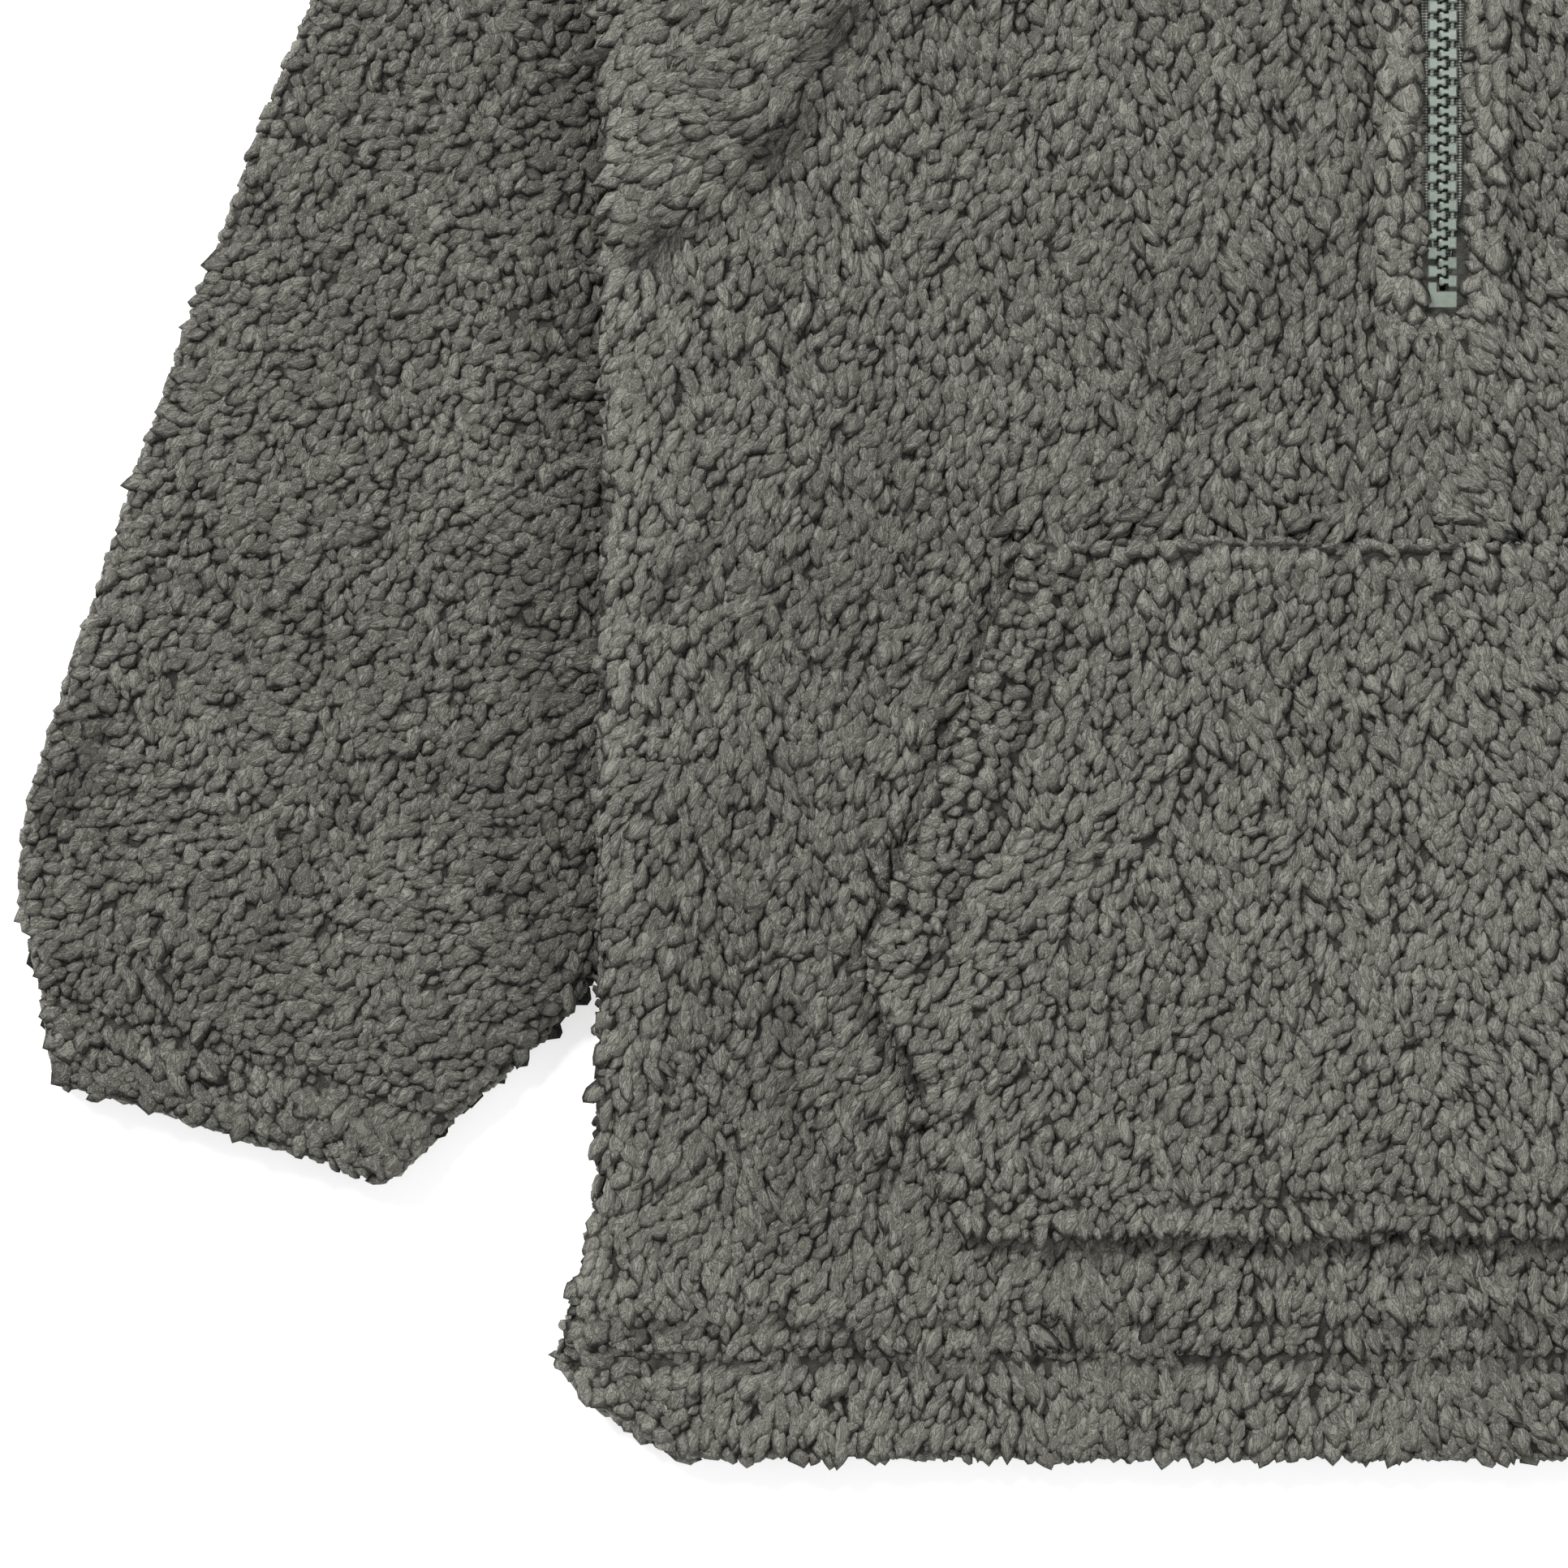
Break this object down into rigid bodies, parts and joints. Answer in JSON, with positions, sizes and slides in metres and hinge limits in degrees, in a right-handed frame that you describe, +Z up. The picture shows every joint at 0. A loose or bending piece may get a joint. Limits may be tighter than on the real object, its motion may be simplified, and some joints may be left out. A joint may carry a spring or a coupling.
{
  "type": "half-zip pullover",
  "caption": "Deep pile fleece half-zip pullover laid flat, with stand collar, kangaroo pocket, dropped sleeves and a moulded front zip.",
  "frame": {"origin": "middle of the garment's outline, on the surface it lies on", "axes": "+Y from the hem to the collar, +X to the side of the wearer's left sleeve, +Z up from the surface"},
  "size_m": [0.882, 0.75, 0.029],
  "materials": {
    "fleece": "deep curled pile, matt, grey green",
    "zip_tape": "ribbed woven tape, matt, grey green",
    "zip_plastic": "moulded, satin, pale grey green"
  },
  "bodies": {
    "pullover": {"front": "fleece", "back": "fleece", "sleeve_right": "fleece", "sleeve_left": "fleece", "collar": "fleece", "pocket": "fleece", "zip_tape_right": "zip_tape", "zip_tape_left": "zip_tape", "zip_bottom_stop": "zip_plastic", "zip_slider": "zip_plastic"},
    "pull": {"zip_pull": "zip_plastic"}
  },
  "joints": [
    {"name": "pull_swing", "type": "hinge", "parent": "pullover", "child": "pull", "pos_m": [0, 0.316, 0.0146], "axis": [-1, 0, 0], "range_deg": [0, 170]}
  ]
}
